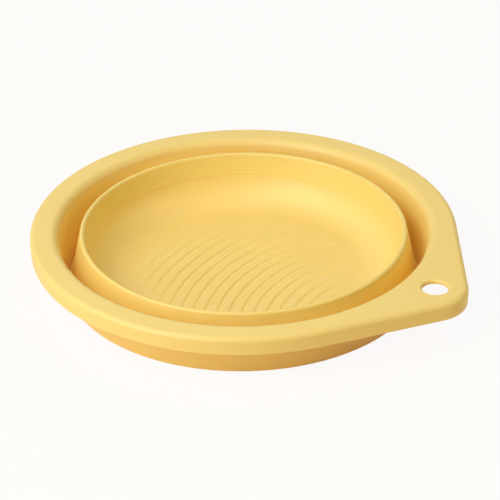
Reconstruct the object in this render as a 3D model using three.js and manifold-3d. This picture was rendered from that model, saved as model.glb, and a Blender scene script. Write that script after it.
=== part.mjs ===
// A collapsible wash basin, folded flat. A stiff rim with a hang tab carries a soft wall of three
// ring panels that nest in each other, and the innermost panel carries a stiff dish with wash ribs.
// Millimetres, +Z up. The origin is on the basin's axis at the table, and +X points to the tab.
import * as THREE from "three";
import { ParametricGeometry } from "three/addons/geometries/ParametricGeometry.js";
import { mergeVertices } from "three/addons/utils/BufferGeometryUtils.js";
import Module from "manifold-3d";

const wasm = await Module();
wasm.setup();

// Whole basin
const basinHeight = 37; // table to rim top, folded
const rimRadius = 135;
const clearance = 0.3; // between neighbouring pieces
const turnSteps = 72; // facets in one full turn
const roundSteps = 4; // facets in one rounded edge

// Rim
const rimWidth = 18; // top, from the skirt to where its inner round would end upright
const rimPlate = 2.6; // thickness of the rim's top and lip
const rimOuterRound = 3.2;
const rimInnerRound = 5.5; // runs on into the leaning wall
const rimLip = 7; // depth of the inner lip that the soft wall hangs from
const skirtHeight = 11.8;
const skirtThickness = 2.2;
const skirtDraft = 0.3; // how far the skirt leans in over its height
const skirtEdgeRound = 0.8;

// Hang tab: the rim's outline leaves the circle along two tangents that meet in a rounded corner
const tabTangentAngle = 35.1; // degrees from the tab's axis
const tabCornerRadius = 25;
const hangHoleDiameter = 16.2;
const hangHoleInset = 19.5; // from the tab's tip to the hole's centre
const hangHoleRound = 1.7;

// Soft wall
const wallThickness = 1.75;
const outerWallLean = 11.55; // degrees off the vertical
const foldingWallLean = 12.2;
const innerWallLean = 9;
const creaseHeight = 2; // bottom of the trough above the foot of the fold
const outerFootThickness = 2.3; // the outer wall is thickest at the foot
const footRound = 1;
const ringDrop = 1.8; // top of the inner ring, below the rim's top
const ringRound = 1.6; // the ring is a narrow crest, where both walls are a little thinner

// Base dish
const dishThickness = 2.3;
const dishCornerRadius = 21;
const dishCollar = 0.3; // straight wall above the rounded corner

// Wash ribs: ridges on circles about a point on the tab's axis, which die away towards the floor's edge
const ribCentreDistance = 125; // from the basin's axis
const ribMiddleRadius = 123.6;
const ribPitch = 7.63;
const ribSteepWidth = 1.9; // flank that faces the tab
const ribHeight = 1.05;
const ribRoot = 0.5; // how deep a rib is rooted in the floor
const ribFieldMargin = 3.5; // from the ribs' ends to the edge of the flat floor
const ribSteps = 10;

// Radii and heights that follow
const innerRoundRadius = rimRadius - rimWidth + rimInnerRound; // middle of the inner round
const innerRoundHeight = basinHeight - rimInnerRound;
const lipBottom = basinHeight - rimLip;
const skirtBottom = basinHeight - skirtHeight;
const footHeight = clearance; // the folds hang just clear of the table, and the dish stands on it
const creaseTop = footHeight + creaseHeight;
const outerWallTop = lipBottom - clearance;
const slope = (degrees) => Math.tan(THREE.MathUtils.degToRad(degrees));
const outerWallAngle = THREE.MathUtils.degToRad(outerWallLean);
const outerWallStart = innerRoundRadius - rimInnerRound / Math.cos(outerWallAngle);
const outerRadiusAt = (z) => outerWallStart + (z - innerRoundHeight) * slope(outerWallLean);
const outerWallFoot = outerRadiusAt(creaseTop);
const foldFoot = outerWallFoot - clearance;
const ringTop = basinHeight - ringDrop;
const ringShoulder = ringTop - ringRound;
const ringOuterRadius = foldFoot - (ringShoulder - creaseTop) * slope(foldingWallLean);
const ringMiddleRadius = ringOuterRadius - ringRound;
const ringInnerRadius = ringMiddleRadius - ringRound;
const fullWallGain = wallThickness + clearance / 2 - ringRound; // from the crest to the full thickness
const dishWallAngle = THREE.MathUtils.degToRad(innerWallLean);
const dishCornerTop = dishThickness + dishCornerRadius * (1 - Math.sin(dishWallAngle));
const seamHeight = dishCornerTop + dishCollar;
const innerWallFoot = seamHeight + clearance;
const innerRadiusAt = (z) => ringInnerRadius - (ringShoulder - z) * slope(innerWallLean);
const floorRadius = innerRadiusAt(dishCornerTop) - dishCornerRadius * Math.cos(dishWallAngle);
const ribGentleWidth = ribPitch - ribSteepWidth;
const tabCornerX = (rimRadius - tabCornerRadius) / Math.cos(THREE.MathUtils.degToRad(tabTangentAngle));
const tabTip = tabCornerX + tabCornerRadius;
const hangHoleX = tabTip - hangHoleInset;

// Materials
const stiffPlastic = new THREE.MeshStandardMaterial({ color: "#f3d583", roughness: 0.5, metalness: 0 });
const softRubber = new THREE.MeshStandardMaterial({ color: "#efca70", roughness: 0.65, metalness: 0 });

const point = (r, z) => new THREE.Vector2(r, z);

// Points of an arc in a section, from one angle to another in degrees, ends included
function arc(r, z, radius, from, to, steps = roundSteps) {
  const points = [];
  for (let i = 0; i <= steps; i++) {
    const angle = THREE.MathUtils.degToRad(from + ((to - from) * i) / steps);
    points.push(point(r + radius * Math.cos(angle), z + radius * Math.sin(angle)));
  }
  return points;
}

// A ring or dish turned from its section about the basin's axis
function turned(section) {
  return new THREE.LatheGeometry(section, turnSteps).rotateX(Math.PI / 2);
}

// A ring turned from a section that closes on itself
function turnedRing(section) {
  return turned([...section, section[0].clone()]);
}

function toSolid(geometry) {
  const bare = geometry.clone();
  bare.deleteAttribute("normal");
  bare.deleteAttribute("uv");
  const merged = mergeVertices(bare, 1e-3);
  return new wasm.Manifold(
    new wasm.Mesh({
      numProp: 3,
      vertProperties: new Float32Array(merged.attributes.position.array),
      triVerts: new Uint32Array(merged.index.array),
    }),
  );
}

function toGeometry(solid) {
  const mesh = solid.getMesh();
  const geometry = new THREE.BufferGeometry();
  geometry.setAttribute("position", new THREE.BufferAttribute(mesh.vertProperties, 3));
  geometry.setIndex(new THREE.BufferAttribute(mesh.triVerts, 1));
  geometry.computeVertexNormals();
  return geometry;
}

// Stations round the rim's outline, each with its place and the direction that faces out there
function rimOutline() {
  const tangent = THREE.MathUtils.degToRad(tabTangentAngle);
  const step = (2 * Math.PI) / turnSteps;
  const circleSteps = Math.ceil((2 * Math.PI - 2 * tangent) / step);
  const cornerSteps = Math.ceil((2 * tangent) / step);
  const sideSteps = Math.ceil(tangent / step);
  const onArc = (centre, radius, angle) => {
    const out = point(Math.cos(angle), Math.sin(angle));
    return { place: point(centre, 0).addScaledVector(out, radius), out };
  };
  const stations = [];
  for (let i = 0; i <= circleSteps; i++) {
    const angle = tangent + ((2 * Math.PI - 2 * tangent) * i) / circleSteps;
    stations.push(onArc(0, rimRadius, angle));
  }
  const addSide = (angle, from, to) => {
    for (let i = 1; i < sideSteps; i++) {
      const { out } = onArc(0, rimRadius, angle);
      stations.push({ place: from.clone().lerp(to, i / sideSteps), out });
    }
  };
  const circleEnd = onArc(0, rimRadius, -tangent).place;
  addSide(-tangent, circleEnd, onArc(tabCornerX, tabCornerRadius, -tangent).place);
  for (let i = 0; i <= cornerSteps; i++) {
    stations.push(onArc(tabCornerX, tabCornerRadius, -tangent + (2 * tangent * i) / cornerSteps));
  }
  addSide(tangent, onArc(tabCornerX, tabCornerRadius, tangent).place, stations[0].place);
  return stations;
}

// The rim's section, an upside-down channel. Each point lies on the outline, set in by a distance, or
// on a circle about the basin's axis.
function rimSection() {
  const onOutline = ({ x, y }) => ({ inset: x, z: y });
  const onCircle = ({ x, y }) => ({ radius: x, z: y });
  const plateBottom = basinHeight - rimPlate;
  const lipInside = outerRadiusAt(lipBottom);
  const innerRound = (radius, from, to) => arc(innerRoundRadius, innerRoundHeight, radius, from, to);
  const edgeInset = skirtDraft + skirtEdgeRound;
  const edgeHeight = skirtBottom + skirtEdgeRound;
  const skirtInside = skirtDraft + skirtThickness;
  return [point(lipInside, lipBottom), ...innerRound(rimInnerRound, 180 - outerWallLean, 90)]
    .map(onCircle)
    .concat(
      [
        ...arc(rimOuterRound, basinHeight - rimOuterRound, rimOuterRound, 90, 180),
        ...arc(edgeInset, edgeHeight, skirtEdgeRound, 180, 270),
        point(skirtInside, skirtBottom),
        point(skirtThickness, plateBottom),
      ].map(onOutline),
      [
        ...innerRound(rimInnerRound - rimPlate, 90, 180 - outerWallLean),
        point(lipInside + rimPlate / Math.cos(outerWallAngle), lipBottom),
      ].map(onCircle),
    );
}

function makeRim() {
  const stations = rimOutline();
  const section = rimSection();
  const surface = (u, v, target) => {
    const { radius, inset, z } = section[Math.round(u * section.length) % section.length];
    const { place, out } = stations[Math.round(v * stations.length) % stations.length];
    const flat = place.clone();
    if (radius === undefined) flat.addScaledVector(out, -inset);
    else flat.setLength(radius);
    target.set(flat.x, flat.y, z);
  };
  const shell = new ParametricGeometry(surface, section.length, stations.length);
  const holeRadius = hangHoleDiameter / 2;
  const roundBottom = basinHeight - hangHoleRound;
  const hole = turned([
    point(0, lipBottom),
    point(holeRadius, lipBottom),
    ...arc(holeRadius + hangHoleRound, roundBottom, hangHoleRound, 180, 90),
    point(holeRadius + hangHoleRound, basinHeight + clearance),
    point(0, basinHeight + clearance),
  ]).translate(hangHoleX, 0, 0);
  return toGeometry(toSolid(shell).subtract(toSolid(hole)));
}

// The panel that shows under the rim. Its foot is the outer half of the lower fold.
function makeOuterWall() {
  const top = outerRadiusAt(outerWallTop);
  const footOutside = outerWallFoot + outerFootThickness;
  const footCentre = footOutside - footRound;
  return turnedRing([
    point(outerWallFoot, footHeight),
    ...arc(footCentre, footHeight + footRound, footRound, 270, 360),
    point(footOutside, creaseTop),
    point(top + wallThickness, outerWallTop),
    point(top, outerWallTop),
    point(outerWallFoot, creaseTop),
  ]);
}

// The middle panel. Its foot is the inner half of the lower fold, and its top the outer half of the ring.
function makeFoldingWall() {
  const inside = ringMiddleRadius + clearance / 2;
  const partingFoot = ringShoulder - fullWallGain / slope(foldingWallLean);
  const footInside = foldFoot - wallThickness;
  const footCentre = footInside + footRound;
  const start = THREE.MathUtils.radToDeg(Math.acos(clearance / 2 / ringRound));
  return turnedRing([
    point(foldFoot, footHeight),
    point(foldFoot, creaseTop),
    ...arc(ringMiddleRadius, ringShoulder, ringRound, 0, start),
    point(inside, partingFoot),
    point(footInside, creaseTop),
    ...arc(footCentre, footHeight + footRound, footRound, 180, 270),
  ]);
}

// The panel round the dish. Its top is the inner half of the ring.
function makeInnerWall() {
  const outside = ringMiddleRadius - clearance / 2;
  const partingFoot = ringShoulder - fullWallGain / slope(innerWallLean);
  const start = THREE.MathUtils.radToDeg(Math.acos(-clearance / 2 / ringRound));
  const footInside = innerRadiusAt(innerWallFoot);
  return turnedRing([
    point(footInside + wallThickness, innerWallFoot),
    point(outside, partingFoot),
    ...arc(ringMiddleRadius, ringShoulder, ringRound, start, 180),
    point(footInside, innerWallFoot),
  ]);
}

// One wash rib: a low ridge along a circle, highest in the middle of the floor and level with it at the ends
function makeRib(radius, fieldRadius) {
  const spread = ribCentreDistance ** 2 + radius ** 2;
  const reach = Math.acos((spread - fieldRadius ** 2) / (2 * ribCentreDistance * radius));
  const crown = [-ribSteepWidth, -ribSteepWidth / 2, 0, ribGentleWidth / 2, ribGentleWidth];
  const crownShare = [0, 0.75, 1, 0.6, 0];
  const surface = (u, v, target) => {
    const step = Math.round(v * ribSteps);
    const angle = Math.PI - reach + (2 * reach * step) / ribSteps;
    const fromAxis = Math.sqrt(spread + 2 * ribCentreDistance * radius * Math.cos(angle));
    const rise = ribHeight * (1 - (fromAxis / fieldRadius) ** 4);
    const at = Math.round(u * crown.length) % crown.length;
    const isEnd = step === 0 || step === ribSteps;
    const across = isEnd ? 0 : crown[at];
    const height = isEnd ? -ribRoot / 2 : crownShare[at] * (rise + ribRoot) - ribRoot;
    const r = radius + across;
    target.set(ribCentreDistance + r * Math.cos(angle), r * Math.sin(angle), dishThickness + height);
  };
  return new ParametricGeometry(surface, crown.length, ribSteps);
}

function makeBaseDish() {
  const cornerHeight = dishThickness + dishCornerRadius;
  const corner = (radius, from, to) => arc(floorRadius, cornerHeight, radius, from, to, 2 * roundSteps);
  const outerCorner = dishCornerRadius + dishThickness;
  const collarInside = innerRadiusAt(seamHeight);
  const collarOutside = collarInside + dishThickness / Math.cos(dishWallAngle);
  const dish = toSolid(
    turned([
      point(0, 0),
      ...corner(outerCorner, 270, 360 - innerWallLean),
      point(collarOutside, seamHeight),
      point(collarInside, seamHeight),
      ...corner(dishCornerRadius, 360 - innerWallLean, 270),
      point(0, dishThickness),
    ]),
  );
  const fieldRadius = floorRadius - ribFieldMargin;
  const first = Math.ceil((ribCentreDistance - fieldRadius - ribMiddleRadius) / ribPitch);
  const last = Math.floor((ribCentreDistance + fieldRadius - ribMiddleRadius) / ribPitch);
  let ribbed = dish;
  for (let i = first; i <= last; i++) {
    ribbed = ribbed.add(toSolid(makeRib(ribMiddleRadius + i * ribPitch, fieldRadius)));
  }
  return toGeometry(ribbed);
}

function named(name, geometry, material) {
  const mesh = new THREE.Mesh(geometry, material);
  mesh.name = name;
  return mesh;
}

const basin = new THREE.Group();
basin.add(
  named("rim", makeRim(), stiffPlastic),
  named("outer_wall", makeOuterWall(), softRubber),
  named("folding_wall", makeFoldingWall(), softRubber),
  named("inner_wall", makeInnerWall(), softRubber),
  named("base_dish", makeBaseDish(), stiffPlastic),
);

export default basin;
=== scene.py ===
import math

import bmesh
import bpy
from mathutils import Matrix, Vector


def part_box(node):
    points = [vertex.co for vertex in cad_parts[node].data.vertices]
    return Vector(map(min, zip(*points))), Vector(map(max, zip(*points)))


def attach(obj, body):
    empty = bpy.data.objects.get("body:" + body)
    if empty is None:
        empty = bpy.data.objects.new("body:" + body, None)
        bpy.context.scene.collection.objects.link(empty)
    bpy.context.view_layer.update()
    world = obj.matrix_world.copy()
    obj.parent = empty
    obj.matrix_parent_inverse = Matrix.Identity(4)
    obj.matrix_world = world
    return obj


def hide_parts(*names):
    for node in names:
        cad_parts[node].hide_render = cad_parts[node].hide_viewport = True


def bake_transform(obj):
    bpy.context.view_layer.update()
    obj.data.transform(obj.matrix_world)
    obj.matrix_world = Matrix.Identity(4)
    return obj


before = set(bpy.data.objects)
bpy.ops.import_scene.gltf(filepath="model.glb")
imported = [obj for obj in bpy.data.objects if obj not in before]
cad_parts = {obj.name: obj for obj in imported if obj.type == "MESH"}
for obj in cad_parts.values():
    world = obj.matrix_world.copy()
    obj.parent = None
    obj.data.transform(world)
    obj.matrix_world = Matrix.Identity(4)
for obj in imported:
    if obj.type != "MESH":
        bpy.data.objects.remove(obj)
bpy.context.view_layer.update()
print("frame loaded with", len(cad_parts), "nodes")

mm = 0.001
turnSteps = 360  # facets in one full turn
roundSteps = 10  # facets in one rounded edge
flatEdge = 0.25  # mm, narrow strip beside each round, so that flat faces shade flat
mergeGap = 0.002  # mm
hairline = 0.02  # mm, between pieces that are moulded onto each other
sharpAngle = math.radians(35)


# Tools for every piece. Lengths are in millimetres until finishPiece.

def boxOf(node):
    low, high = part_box(node)
    return low / mm, high / mm


def slope(degrees):
    return math.tan(math.radians(degrees))


def drawSection(bm, start, *steps):  # (r, z) is a line to there, (r, z, degrees) an arc about there
    last = bmesh.ops.create_vert(bm, co=(start[0], 0, start[1]))["vert"][0]
    for r, z, *turn in steps:
        if turn:
            spun = bmesh.ops.spin(
                bm, geom=[last], cent=(r, 0, z), axis=(0, -1, 0),
                angle=math.radians(turn[0]), steps=roundSteps,
            )
            last = spun["geom_last"][0]
            continue
        here = last.co.copy()
        there = Vector((r, 0, z))
        edge = flatEdge / (there - here).length
        shares = [edge, 1 - edge, 1] if edge < 1 / 3 else [1]  # a short line has no room for strips
        for share in shares:
            last = bmesh.ops.extrude_vert_indiv(bm, verts=[last])["verts"][0]
            last.co = here.lerp(there, share)


def spinRound(bm):
    bmesh.ops.remove_doubles(bm, verts=bm.verts[:], dist=mergeGap)
    bmesh.ops.spin(
        bm, geom=bm.verts[:] + bm.edges[:], cent=(0, 0, 0), axis=(0, 0, 1),
        angle=2 * math.pi, steps=turnSteps, use_merge=True,
    )


def newEdges(bm, known):
    return [edge for edge in bm.edges if edge not in known]


def extrudeLoop(bm, loop, place):  # pulls a closed edge loop on, each point to where place puts it
    grown = bmesh.ops.extrude_edge_only(bm, edges=loop)["geom"]
    points = [part for part in grown if isinstance(part, bmesh.types.BMVert)]
    for point in points:
        point.co = place(point.co)
    ends = set(points)
    edges = [part for part in grown if isinstance(part, bmesh.types.BMEdge)]
    return [edge for edge in edges if ends.issuperset(edge.verts)]


def finishPiece(bm, name, node, material):
    bmesh.ops.remove_doubles(bm, verts=bm.verts[:], dist=mergeGap)
    bmesh.ops.recalc_face_normals(bm, faces=bm.faces[:])
    bmesh.ops.scale(bm, vec=(mm, mm, mm), verts=bm.verts[:])
    for face in bm.faces:
        face.smooth = True
    for edge in bm.edges:
        edge.smooth = edge.smooth and edge.calc_face_angle(0) < sharpAngle
    openEdges = sum(edge.is_boundary for edge in bm.edges)
    mesh = bpy.data.meshes.new(name)
    bm.to_mesh(mesh)
    bm.free()
    mesh.materials.append(material)
    piece = bpy.data.objects.new(name, mesh)
    bpy.context.scene.collection.objects.link(piece)
    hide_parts(node)
    print("made", name, "with", len(mesh.polygons), "faces and", openEdges, "open edges")
    return piece


# Materials

def colour(hexValue):  # sRGB hex to linear
    parts = [int(hexValue[i:i + 2], 16) / 255 for i in (1, 3, 5)]
    linear = [p / 12.92 if p <= 0.04045 else ((p + 0.055) / 1.055) ** 2.4 for p in parts]
    return (*linear, 1)


def addNode(owner, kind, inputs, **settings):
    node = owner.node_tree.nodes.new(kind)
    for key, value in settings.items():
        setattr(node, key, value)
    for socket, value in inputs.items():
        if isinstance(value, bpy.types.NodeSocket):
            owner.node_tree.links.new(value, node.inputs[socket])
        else:
            node.inputs[socket].default_value = value
    return node


def startMaterial(name):
    material = bpy.data.materials.new(name)
    material.use_nodes = True
    material.node_tree.nodes.clear()
    return material


finish = {
    "flowDetail": 2,
    "grainDetail": 3,
    "grainSharpness": 0.6,  # share of the finer specks in the grain
    "grainRange": (0.3, 0.7),  # lows and highs of the grain, which set the two ends of the roughness
    "bloomRoughness": 0.5,
}


def mouldedFinish(material, look):  # clouds where the melt ran, and the grain of the mould
    place = addNode(material, "ShaderNodeTexCoord", {}).outputs["Object"]
    flow = addNode(material, "ShaderNodeTexNoise", {
        "Vector": place, "Scale": 1 / (look["flow"] * mm), "Detail": finish["flowDetail"],
    })
    tint = addNode(material, "ShaderNodeMix", {
        0: flow.outputs["Fac"], 6: colour(look["tint"]), 7: colour(look["shade"]),
    }, data_type="RGBA")
    grain = addNode(material, "ShaderNodeTexNoise", {
        "Vector": place, "Scale": 1 / (look["grain"] * mm),
        "Detail": finish["grainDetail"], "Roughness": finish["grainSharpness"],
    })
    gloss = addNode(material, "ShaderNodeMapRange", {
        "Value": grain.outputs["Fac"],
        "From Min": finish["grainRange"][0], "From Max": finish["grainRange"][1],
        "To Min": look["roughness"][0], "To Max": look["roughness"][1],
    })
    relief = addNode(material, "ShaderNodeBump", {
        "Height": grain.outputs["Fac"], "Strength": 1, "Distance": look["grainDepth"] * mm,
    })
    shader = addNode(material, "ShaderNodeBsdfPrincipled", {
        "Base Color": tint.outputs[2], "Roughness": gloss.outputs["Result"],
        "Normal": relief.outputs["Normal"], "IOR": look["ior"],
        "Sheen Weight": look["sheen"], "Sheen Roughness": finish["bloomRoughness"],
    })
    addNode(material, "ShaderNodeOutputMaterial", {"Surface": shader.outputs["BSDF"]})


polypropylene = {
    "tint": "#fbde85",
    "shade": "#f9da80",
    "flow": 70,  # mm, size of a cloud
    "grain": 0.8,  # mm, coarser than the real 0.1 mm of a sparked mould, so that it shows
    "grainDepth": 0.01,
    "roughness": (0.42, 0.5),
    "ior": 1.49,
    "sheen": 0.0,
}
rubber = {
    "tint": "#f9de7f",
    "shade": "#f7da79",
    "flow": 45,
    "grain": 0.8,  # mm, coarser than the real 0.1 mm here too
    "grainDepth": 0.014,
    "roughness": (0.4, 0.5),
    "ior": 1.5,
    "sheen": 0.04,
}


def mouldedPolypropylene():  # stiff and satin: an even warm yellow with wide soft highlights
    material = startMaterial("moulded_polypropylene")
    mouldedFinish(material, polypropylene)
    return material


def mouldedRubber():  # soft thermoplastic rubber: as satin as the rim, with a faint dusty bloom
    material = startMaterial("moulded_thermoplastic_rubber")
    mouldedFinish(material, rubber)
    return material


stiffPlastic = mouldedPolypropylene()
softRubber = mouldedRubber()
print("materials made")


# Rim: an upside-down channel round the circle and the hang tab

rim = {
    "width": 18.0,  # top, from the skirt to where its inner round would end upright
    "plate": 2.6,  # thickness of the top and the lip
    "outerRound": 3.2,
    "innerRound": 5.5,  # runs on into the leaning wall
    "lip": 7.0,  # inner lip that the soft wall hangs from
    "skirtThickness": 2.2,
    "skirtDraft": 0.3,
    "skirtRound": 0.8,
    "channelRound": 1.0,  # inside corner between the plate and the skirt
    "cornerRadius": 25.0,
    "holeRadius": 8.1,
    "holeInset": 19.5,  # from the tab's tip to the hole's centre
    "holeRound": 1.7,
    "holeSteps": 120,
    "cornerSteps": 72,
}
rimLow, rimHigh = boxOf("rim")
rimRadius = -rimLow.x
rimTop = rimHigh.z
lipRoundRadius = rimRadius - rim["width"] + rim["innerRound"]  # middle of the inner round
lipRoundHeight = rimTop - rim["innerRound"]
lipBottom = rimTop - rim["lip"]
tabCornerX = rimHigh.x - rim["cornerRadius"]
tabAngle = math.acos((rimRadius - rim["cornerRadius"]) / tabCornerX)  # where the tab leaves the circle
holeX = rimHigh.x - rim["holeInset"]


def startOutline(bm):  # circle, and two tangents that meet in the tab's round corner
    across = Vector((math.cos(tabAngle), math.sin(tabAngle), 0))
    first = bmesh.ops.create_vert(bm, co=across * rimRadius)["vert"][0]
    spun = bmesh.ops.spin(
        bm, geom=[first], cent=(0, 0, 0), axis=(0, 0, 1),
        angle=2 * math.pi - 2 * tabAngle, steps=turnSteps,
    )
    last = bmesh.ops.extrude_vert_indiv(bm, verts=[spun["geom_last"][0]])["verts"][0]
    last.co = Vector((tabCornerX, 0, 0)) + across.reflect(Vector((0, 1, 0))) * rim["cornerRadius"]
    spun = bmesh.ops.spin(
        bm, geom=[last], cent=(tabCornerX, 0, 0), axis=(0, 0, 1),
        angle=2 * tabAngle, steps=rim["cornerSteps"],
    )
    bmesh.ops.contextual_create(bm, geom=[spun["geom_last"][0], first])
    return bm.edges[:]


def onOutline(inset, z):
    def place(co):
        onTab = co.x > tabCornerX
        centre = Vector((tabCornerX if onTab else 0, 0, z))
        radius = (rim["cornerRadius"] if onTab else rimRadius) - inset
        return centre + Vector((co.x - centre.x, co.y, 0)).normalized() * radius
    return place


def onCircle(x, radius, z):
    def place(co):
        return Vector((x, 0, z)) + Vector((co.x - x, co.y, 0)).normalized() * radius
    return place


def rounded(centre, height, radius, start, end):  # a rounded edge as pairs of distance and height
    angles = [math.radians(start + (end - start) * i / roundSteps) for i in range(roundSteps + 1)]
    return [(centre + radius * math.cos(a), height + radius * math.sin(a)) for a in angles]


def extrudeSection(bm, loop, places):  # returns the first and the last loop of the strip
    first = last = loop
    for place in places:
        last = extrudeLoop(bm, last, place)
    return first, last


def skirtSection():  # distance in from the outline, and height
    plateBottom = rimTop - rim["plate"]
    outerRound, skirtRound, channelRound = rim["outerRound"], rim["skirtRound"], rim["channelRound"]
    skirtInside = rim["skirtDraft"] + rim["skirtThickness"]
    channelEdge = rim["skirtThickness"] + channelRound
    return [
        (outerRound + flatEdge, rimTop),
        *rounded(outerRound, rimTop - outerRound, outerRound, 90, 180),
        (0, rimTop - outerRound - flatEdge),
        (rim["skirtDraft"], rimLow.z + skirtRound + flatEdge),
        *rounded(rim["skirtDraft"] + skirtRound, rimLow.z + skirtRound, skirtRound, 180, 270),
        *rounded(skirtInside - skirtRound, rimLow.z + skirtRound, skirtRound, 270, 360),
        (skirtInside, rimLow.z + skirtRound + flatEdge),
        (rim["skirtThickness"], plateBottom - channelRound - flatEdge),
        *rounded(channelEdge, plateBottom - channelRound, channelRound, 180, 90),
        (channelEdge + flatEdge, plateBottom),
    ]


def lipSection():  # distance from the basin's axis, and height
    lean = wall["outerLean"]
    lipOutside = outerRadiusAt(lipBottom) + rim["plate"] / math.cos(math.radians(lean))
    return [
        (lipRoundRadius + flatEdge, rimTop),
        *rounded(lipRoundRadius, lipRoundHeight, rim["innerRound"], 90, 180 - lean),
        (outerRadiusAt(lipBottom + flatEdge), lipBottom + flatEdge),
        (outerRadiusAt(lipBottom), lipBottom),
        (lipOutside, lipBottom),
        *rounded(lipRoundRadius, lipRoundHeight, rim["innerRound"] - rim["plate"], 180 - lean, 90),
        (lipRoundRadius + flatEdge, rimTop - rim["plate"]),
    ]


def holeSection():  # distance from the hole's centre, and height
    plateBottom = rimTop - rim["plate"]
    holeRadius, holeRound = rim["holeRadius"], rim["holeRound"]
    return [
        (holeRadius + holeRound + flatEdge, rimTop),
        *rounded(holeRadius + holeRound, rimTop - holeRound, holeRound, 90, 180),
        (holeRadius, plateBottom + flatEdge),
        (holeRadius, plateBottom),
        (holeRadius + flatEdge, plateBottom),
    ]


def startCircle(bm, x, radius, steps):
    known = set(bm.edges)
    bmesh.ops.create_circle(bm, segments=steps, radius=radius, matrix=Matrix.Translation((x, 0, 0)))
    return newEdges(bm, known)


def makeRim():
    bm = bmesh.new()
    outline = startOutline(bm)
    inner = startCircle(bm, 0, lipRoundRadius, turnSteps)
    hole = startCircle(bm, holeX, rim["holeRadius"], rim["holeSteps"])
    strips = []
    for loop, section, place in (
        (outline, skirtSection(), onOutline),
        (inner, lipSection(), lambda radius, z: onCircle(0, radius, z)),
        (hole, holeSection(), lambda radius, z: onCircle(holeX, radius, z)),
    ):
        places = [place(*pair) for pair in section]
        for point in {vert for edge in loop for vert in edge.verts}:
            point.co = places[0](point.co)
        strips.append(extrudeSection(bm, loop, places[1:]))
    for end in (0, 1):  # flat top, then flat underside
        edges = [edge for strip in strips for edge in strip[end]]
        bmesh.ops.triangle_fill(bm, use_beauty=True, normal=(0, 0, 1), edges=edges)
    return finishPiece(bm, "rim_channel", "rim", stiffPlastic)


# Soft wall: three panels, joined at the ring above and the fold below

wall = {
    "thickness": 1.75,
    "outerLean": 11.55,  # degrees off the vertical
    "foldingLean": 12.2,
    "innerLean": 9.0,
    "outerFoot": 2.3,  # the outer wall is thickest at the foot
    "footRound": 1.0,
    "creaseHeight": 2.0,  # bottom of the trough's straight sides above the foot
    "creaseRound": 0.5,  # rounded bottom of the trough
    "ringRound": 1.6,  # the ring is a narrow crest, where both walls are a little thinner
}
outerLow, outerHigh = boxOf("outer_wall")
foldLow, foldHigh = boxOf("folding_wall")
footHeight = hairline
creaseTop = outerLow.z + wall["creaseHeight"]


def outerRadiusAt(z):  # inside face of the outer wall, which touches the rim's inner round
    start = lipRoundRadius - rim["innerRound"] / math.cos(math.radians(wall["outerLean"]))
    return start + (z - lipRoundHeight) * slope(wall["outerLean"])


outerFoot = outerRadiusAt(creaseTop)
foldFoot = -foldLow.x
ringShoulder = round(foldHigh.z, 1) - wall["ringRound"]  # the ring's top is a round number of tenths
ringOuter = foldFoot - (ringShoulder - creaseTop) * slope(wall["foldingLean"])
ringMiddle = ringOuter - wall["ringRound"]
ringInner = ringMiddle - wall["ringRound"]


def innerRadiusAt(z):  # inside face of the inner wall
    return ringInner - (ringShoulder - z) * slope(wall["innerLean"])


def partingFoot(lean):  # where a wall below the ring has its full thickness
    return ringShoulder - (wall["thickness"] + hairline - wall["ringRound"]) / slope(lean)


def troughCentre():  # the circle that touches both sides of the trough
    outerTilt, foldTilt = math.radians(wall["outerLean"]), math.radians(wall["foldingLean"])
    radius, gap = wall["creaseRound"], outerFoot - foldFoot
    rise = radius * (1 + math.cos(outerTilt) / math.cos(foldTilt)) - gap * math.cos(outerTilt)
    rise /= math.sin(outerTilt) + math.tan(foldTilt) * math.cos(outerTilt)
    across = (radius - rise * math.sin(foldTilt)) / math.cos(foldTilt)
    return foldFoot + across, creaseTop + rise


creaseR, creaseZ = troughCentre()


def troughTouch(lean, side):  # where the trough's round meets its outer side, 1, or its inner side, -1
    tilt = math.radians(lean)
    across, down = wall["creaseRound"] * math.cos(tilt), wall["creaseRound"] * math.sin(tilt)
    return creaseR + side * across, creaseZ - down


def makeOuterWall():
    bm = bmesh.new()
    top = lipBottom - hairline
    footOutside = outerFoot + wall["outerFoot"]
    footCentre = footOutside - wall["footRound"]
    drawSection(
        bm, (creaseR, footHeight),
        (footCentre, footHeight),
        (footCentre, footHeight + wall["footRound"], 90),
        (footOutside, creaseTop),
        (outerRadiusAt(top) + wall["thickness"], top),
        (outerRadiusAt(top), top),
        troughTouch(wall["outerLean"], 1),
        (creaseR, creaseZ, -(90 - wall["outerLean"])),
        (creaseR, footHeight),
    )
    spinRound(bm)
    return finishPiece(bm, "outer_panel", "outer_wall", softRubber)


def sharpenFolds(bm):  # the panel folds along both ends of its tall faces, so these edges shade sharp
    for face in bm.faces:
        heights = [vert.co.z for vert in face.verts]
        if max(heights) - min(heights) > wall["creaseHeight"]:
            for edge in face.edges:
                edge.smooth = abs(edge.verts[0].co.z - edge.verts[1].co.z) > mergeGap


def makeFoldingWall():
    bm = bmesh.new()
    footInside = foldFoot - wall["thickness"]
    footCentre = footInside + wall["footRound"]
    drawSection(
        bm, troughTouch(wall["foldingLean"], -1),
        (ringOuter, ringShoulder),
        (ringMiddle + hairline, ringShoulder),
        (ringMiddle + hairline, partingFoot(wall["foldingLean"])),
        (footInside, creaseTop),
        (footInside, footHeight + wall["footRound"]),
        (footCentre, footHeight + wall["footRound"], 90),
        (creaseR, footHeight),
        (creaseR, creaseZ - wall["creaseRound"]),
        (creaseR, creaseZ, -(90 - wall["foldingLean"])),
    )
    spinRound(bm)
    sharpenFolds(bm)
    return finishPiece(bm, "folding_panel", "folding_wall", softRubber)


seam = {
    "edgeRound": 0.12,  # fine line where the soft panel is moulded onto the dish
    "band": 1.9,  # height of the flat bead along the soft panel's foot
    "proud": 0.1,
}


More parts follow.
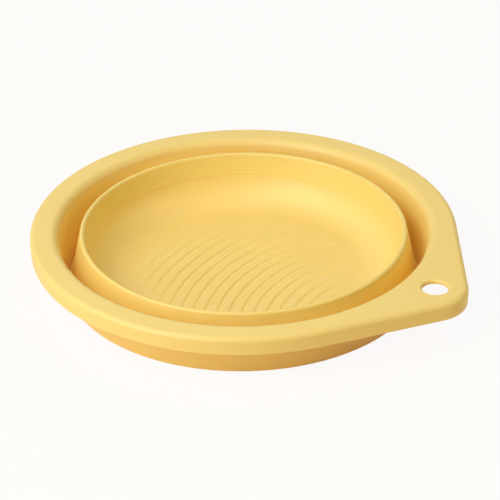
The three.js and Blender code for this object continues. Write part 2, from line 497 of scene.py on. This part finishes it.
def makeInnerWall():
    bm = bmesh.new()
    foot = seamHeight + hairline
    bandTop, bandFoot = foot + seam["band"], foot + seam["edgeRound"]
    thickness = wall["thickness"]
    drawSection(
        bm, (innerRadiusAt(foot) + thickness, foot),
        (ringMiddle - hairline, partingFoot(wall["innerLean"])),
        (ringMiddle - hairline, ringShoulder),
        (ringOuter, ringShoulder),
        (ringMiddle, ringShoulder, 180),
        (innerRadiusAt(bandTop), bandTop),
        (innerRadiusAt(bandTop - seam["edgeRound"]) - seam["proud"], bandTop - seam["edgeRound"]),
        (innerRadiusAt(bandFoot) - seam["proud"], bandFoot),
        (innerRadiusAt(foot), foot),
        (innerRadiusAt(foot) + thickness, foot),
    )
    spinRound(bm)
    return finishPiece(bm, "inner_panel", "inner_wall", softRubber)


# Base dish: rounded corner, flat floor and wash ribs that die away towards the floor's edge

dish = {
    "thickness": 2.3,
    "cornerRadius": 21,
    "collar": 0.3,  # straight wall above the rounded corner
}
ribs = {
    "centreDistance": 125,  # of the ribs' circles, from the basin's axis towards the tab
    "middleRadius": 123.6,
    "pitch": 7.63,
    "steepWidth": 1.9,  # flank that faces the tab
    "height": 1.05,
    "fade": 4,  # the higher, the nearer to its ends a rib dies away
    "margin": 3.5,  # from the ribs' ends to the edge of the flat floor
    "border": 1,  # flat ring round the ribs' grid, up to the spun dish
    "rows": 480,
    "columns": 48,
}
dishLow, dishHigh = boxOf("base_dish")
seamHeight = dishHigh.z
cornerTop = seamHeight - dish["collar"]
wallAngle = math.radians(wall["innerLean"])
floorRadius = innerRadiusAt(cornerTop) - dish["cornerRadius"] * math.cos(wallAngle)
ribField = floorRadius - ribs["margin"]


def ribRise(distance, fromAxis):  # a steep and a gentle flank every pitch, highest in mid-floor
    steep, pitch = ribs["steepWidth"], ribs["pitch"]
    behind = (distance - ribs["middleRadius"] + steep) % pitch - steep
    across = behind / (pitch - steep) if behind > 0 else behind / steep
    fade = max(0, 1 - (fromAxis / ribField) ** ribs["fade"])
    return ribs["height"] * (1 + math.cos(math.pi * across)) / 2 * fade


def addRibbedFloor(bm):  # a grid whose rows follow the ribs' circles
    centre = ribs["centreDistance"]
    known = set(bm.edges)
    grid = bmesh.ops.create_grid(bm, x_segments=ribs["rows"], y_segments=ribs["columns"], size=1)
    for vert in grid["verts"]:
        distance = centre + vert.co.x * ribField
        spread = (centre ** 2 + distance ** 2 - ribField ** 2) / (2 * centre * distance)
        angle = math.pi + vert.co.y * math.acos(min(1, spread))
        x, y = centre + distance * math.cos(angle), distance * math.sin(angle)
        vert.co = (x, y, dish["thickness"] + ribRise(distance, math.hypot(x, y)))
    bmesh.ops.remove_doubles(bm, verts=grid["verts"], dist=mergeGap)
    return [edge for edge in newEdges(bm, known) if edge.is_boundary]


def makeBaseDish():
    bm = bmesh.new()
    thickness, corner = dish["thickness"], dish["cornerRadius"]
    cornerHeight = thickness + corner
    turn = 90 - wall["innerLean"]
    collarInside = innerRadiusAt(seamHeight)
    collarOutside = collarInside + thickness / math.cos(wallAngle)
    innerEdge = ribField + ribs["border"]
    drawSection(
        bm, (innerEdge, thickness),
        (floorRadius, thickness),
        (floorRadius, cornerHeight, turn / 2),
        (floorRadius, cornerHeight, turn / 2),
        (innerRadiusAt(seamHeight - seam["edgeRound"]), seamHeight - seam["edgeRound"]),
        (collarInside + seam["edgeRound"], seamHeight),
        (collarOutside, seamHeight),
        (floorRadius + (corner + thickness) * math.cos(wallAngle), cornerTop),
        (floorRadius, cornerHeight, -turn / 2),
        (floorRadius, cornerHeight, -turn / 2),
        (0, 0),
    )
    spinRound(bm)
    bmesh.ops.remove_doubles(bm, verts=bm.verts[:], dist=mergeGap)
    ring = [edge for edge in bm.edges if edge.is_boundary]
    floorEdge = addRibbedFloor(bm)
    bmesh.ops.triangle_fill(bm, use_beauty=True, normal=(0, 0, 1), edges=ring + floorEdge)
    return finishPiece(bm, "ribbed_dish", "base_dish", stiffPlastic)


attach(makeRim(), "rim_body")
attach(makeOuterWall(), "rim_body")
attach(makeInnerWall(), "base_body")
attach(makeBaseDish(), "base_body")
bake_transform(makeFoldingWall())
print("pieces placed")


# Camera at the photograph's viewing angle

view = {
    "azimuth": 34.4,
    "elevation": 29.44,
    "distance": 1500,  # mm to the middle of the rim's top
    "lens": 170.63,
    "sensorWidth": 36,
    "turnRight": 0.1516,  # degrees, to set the basin a little left of and above the middle
    "turnDown": 0.5974,
    "roll": -0.788,
}


def viewTurn():
    turned = Matrix.Rotation(math.radians(view["azimuth"]), 4, "Z")
    turned @= Matrix.Rotation(math.radians(90 - view["elevation"]), 4, "X")
    return turned


def makeCamera():
    data = bpy.data.cameras.new("photo_camera")
    data.lens = view["lens"]
    data.sensor_width = view["sensorWidth"]
    camera = bpy.data.objects.new("photo_camera", data)
    bpy.context.scene.collection.objects.link(camera)
    away = viewTurn() @ Vector((0, 0, view["distance"])) + Vector((0, 0, rimTop))
    aim = Matrix.Rotation(math.radians(-view["turnRight"]), 4, "Y")
    aim @= Matrix.Rotation(math.radians(-view["turnDown"]), 4, "X")
    aim @= Matrix.Rotation(math.radians(view["roll"]), 4, "Z")
    camera.matrix_world = Matrix.Translation(away * mm) @ viewTurn() @ aim
    bpy.context.scene.camera = camera


# Studio: cream paper that the camera sees nearly white, white surroundings, and soft lamps round the
# basin, of which three fill with warm light. A lamp's level is how bright it alone lights a white card
# that faces it, and its azimuth is counted from the camera's right-hand side.

studio = {
    "floorSize": 4000,
    "floorColour": "#fae6c3",
    "seenColour": "#ffffff",
    "floorGlow": 0.92,  # share of the floor that is plain white to the eye, which keeps its shadow soft
    "bounces": 12,  # light goes to and fro many times in the deep fold, which glows orange
    "lampDistance": 1800,
    "lampSize": 1000,
    "lamps": {
        "key_lamp": {"azimuth": 225, "elevation": 50, "level": 0.43, "tint": "#ffffff"},
        "low_key_lamp": {"azimuth": 225, "elevation": 20, "level": 0.32, "tint": "#ffffff"},
        "left_lamp": {"azimuth": 180, "elevation": 44, "level": 0.165, "tint": "#ffffff"},
        "top_lamp": {"azimuth": 0, "elevation": 90, "level": 0.11, "tint": "#ffffff"},
        "back_lamp": {"azimuth": 90, "elevation": 41, "level": 0.12, "tint": "#fff4c0"},
        "right_lamp": {"azimuth": 0, "elevation": 30, "level": 0.21, "tint": "#fff4c0"},
        "front_lamp": {"azimuth": 315, "elevation": 42, "level": 0.075, "tint": "#ffe4a0"},
    },
}


def seenWhite(owner):  # 1 where the camera, a gloss or a clear part looks, and 0 for the light that falls
    rays = addNode(owner, "ShaderNodeLightPath", {}).outputs
    seen = addNode(owner, "ShaderNodeMath", {
        0: rays["Is Camera Ray"], 1: rays["Is Glossy Ray"],
    }, operation="MAXIMUM")
    seen = addNode(owner, "ShaderNodeMath", {
        0: seen.outputs[0], 1: rays["Is Transmission Ray"],
    }, operation="MAXIMUM")
    return seen.outputs[0]


def makeFloor():
    bm = bmesh.new()
    bmesh.ops.create_grid(bm, x_segments=1, y_segments=1, size=studio["floorSize"] / 2 * mm)
    mesh = bpy.data.meshes.new("studio_floor")
    bm.to_mesh(mesh)
    bm.free()
    material = startMaterial("cream_paper")
    glow = addNode(material, "ShaderNodeMath", {
        0: seenWhite(material), 1: studio["floorGlow"],
    }, operation="MULTIPLY")
    paper = addNode(material, "ShaderNodeBsdfDiffuse", {"Color": colour(studio["floorColour"])})
    white = addNode(material, "ShaderNodeEmission", {
        "Color": colour(studio["seenColour"]), "Strength": 1,
    })
    both = addNode(material, "ShaderNodeMixShader", {
        0: glow.outputs[0], 1: paper.outputs["BSDF"], 2: white.outputs["Emission"],
    })
    addNode(material, "ShaderNodeOutputMaterial", {"Surface": both.outputs["Shader"]})
    mesh.materials.append(material)
    floor = bpy.data.objects.new("studio_floor", mesh)
    bpy.context.scene.collection.objects.link(floor)


def makeSurround():
    world = bpy.data.worlds.new("studio_surround")
    world.use_nodes = True
    world.node_tree.nodes.clear()
    surround = addNode(world, "ShaderNodeBackground", {
        "Color": colour(studio["seenColour"]), "Strength": seenWhite(world),
    })
    addNode(world, "ShaderNodeOutputWorld", {"Surface": surround.outputs["Background"]})
    bpy.context.scene.world = world


def makeLamps():
    distance = studio["lampDistance"] * mm
    for name, lamp in studio["lamps"].items():
        data = bpy.data.lights.new(name, "AREA")
        data.shape = "DISK"
        data.size = studio["lampSize"] * mm
        data.energy = lamp["level"] * math.pi ** 2 * distance ** 2
        data.color = colour(lamp["tint"])[:3]
        turned = Matrix.Rotation(math.radians(view["azimuth"] + lamp["azimuth"]), 4, "Z")
        turned @= Matrix.Rotation(math.radians(-lamp["elevation"]), 4, "Y")
        towards = turned @ Vector((1, 0, 0))
        stand = bpy.data.objects.new(name, data)
        bpy.context.scene.collection.objects.link(stand)
        stand.location = towards * distance
        stand.rotation_euler = towards.to_track_quat("Z", "Y").to_euler()


makeCamera()
makeFloor()
makeSurround()
makeLamps()
bpy.context.scene.view_settings.view_transform = "Standard"
bpy.context.scene.cycles.diffuse_bounces = studio["bounces"]
print("studio lit")

bpy.context.view_layer.update()
